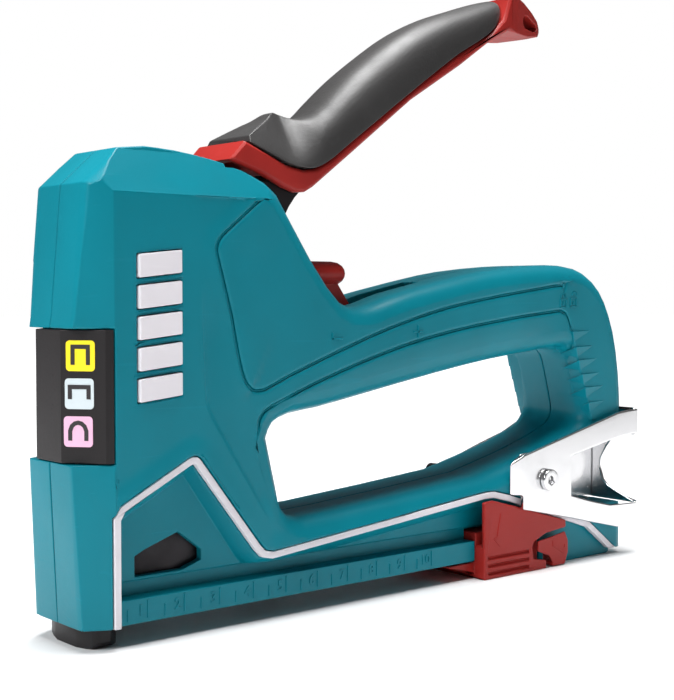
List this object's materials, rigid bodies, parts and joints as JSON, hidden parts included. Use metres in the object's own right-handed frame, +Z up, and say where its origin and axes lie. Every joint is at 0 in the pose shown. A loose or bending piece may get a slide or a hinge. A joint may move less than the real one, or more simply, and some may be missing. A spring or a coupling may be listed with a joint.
{
  "type": "hand tacker",
  "caption": "Lever-operated hand staple tacker with D-shaped handle, rear staple drawer, force slider and bolted-on steel staple remover.",
  "frame": {"origin": "centre of the tool's length and width, on the surface it stands on", "axes": "+X from the nose to the heel, +Z up from the work surface, Y across the housing seam"},
  "size_m": [0.1916, 0.0384, 0.1648],
  "materials": {
    "teal_plastic": "satin moulded",
    "red_plastic": "semi gloss",
    "black_plastic": "satin",
    "soft_grip": "soft touch",
    "white_plastic": "gloss",
    "steel": "brushed",
    "dark_steel": "blackened",
    "chrome": "polished"
  },
  "bodies": {
    "housing": {"housing_left": "teal_plastic", "housing_right": "teal_plastic", "edge_trim_left": "white_plastic", "edge_trim_right": "white_plastic", "badge_left": "white_plastic", "badge_right": "white_plastic", "nose_label_band": "black_plastic", "housing_screw_1": "dark_steel", "housing_screw_2": "dark_steel", "housing_screw_3": "dark_steel", "housing_screw_4": "dark_steel", "housing_screw_5": "dark_steel", "nose_foot": "black_plastic", "striker_guide": "steel", "power_spring": "steel", "spring_guide": "dark_steel", "inner_frame": "steel", "lever_pin": "steel", "magazine_channel": "steel", "remover_strap": "chrome", "remover_blade": "chrome", "remover_bolt": "chrome", "remover_nut": "chrome"},
    "lever": {"lever_arm": "dark_steel", "lever_shell": "red_plastic", "lever_grip": "soft_grip"},
    "striker": {"striker_blade": "steel", "plunger": "dark_steel"},
    "force_adjuster": {"force_knob": "red_plastic", "force_link": "steel"},
    "lever_lock": {"lock_catch": "teal_plastic"},
    "drawer": {"drawer_rail": "steel", "staple_stick": "steel", "follower_rod": "steel", "follower_spring": "steel", "magazine_slider": "red_plastic", "drawer_tail": "teal_plastic"},
    "follower": {"staple_follower": "dark_steel"},
    "latch_a": {"latch_left": "red_plastic"},
    "latch_b": {"latch_right": "red_plastic"}
  },
  "joints": [
    {"name": "lever_squeeze", "type": "hinge", "parent": "housing", "child": "lever", "pos_m": [-0.04965, 0, 0.099], "axis": [0, 1, 0], "range_deg": [0, 28], "stiffness_Nm_per_rad": 1.2, "springref_deg": -20.05},
    {"name": "striker_lift", "type": "slide", "parent": "housing", "child": "striker", "axis": [0, 0, 1], "range_m": [0, 0.01281], "deforming": ["power_spring"]},
    {"name": "force_setting", "type": "slide", "parent": "housing", "child": "force_adjuster", "axis": [0.9781, 0, 0.2079], "range_m": [0, 0.02]},
    {"name": "lock_lift", "type": "slide", "parent": "housing", "child": "lever_lock", "axis": [0, 0, 1], "range_m": [0, 0.004]},
    {"name": "drawer_pull", "type": "slide", "parent": "housing", "child": "drawer", "axis": [1, 0, 0], "range_m": [0, 0.036]},
    {"name": "follower_push", "type": "slide", "parent": "drawer", "child": "follower", "axis": [1, 0, 0], "range_m": [0, 0.03], "stiffness_N_per_m": 40, "springref_m": -0.05, "deforming": ["follower_spring"]},
    {"name": "latch_press_left", "type": "slide", "parent": "drawer", "child": "latch_a", "axis": [0, 1, 0], "range_m": [0, 0.0006], "stiffness_N_per_m": 400, "springref_m": -0.0015},
    {"name": "latch_press_right", "type": "slide", "parent": "drawer", "child": "latch_b", "axis": [0, -1, 0], "range_m": [0, 0.0006], "stiffness_N_per_m": 400, "springref_m": -0.0015}
  ],
  "couplings": [
    {"joint": "striker_lift", "follows": "lever_squeeze", "m_per_rad": 0.02622}
  ]
}
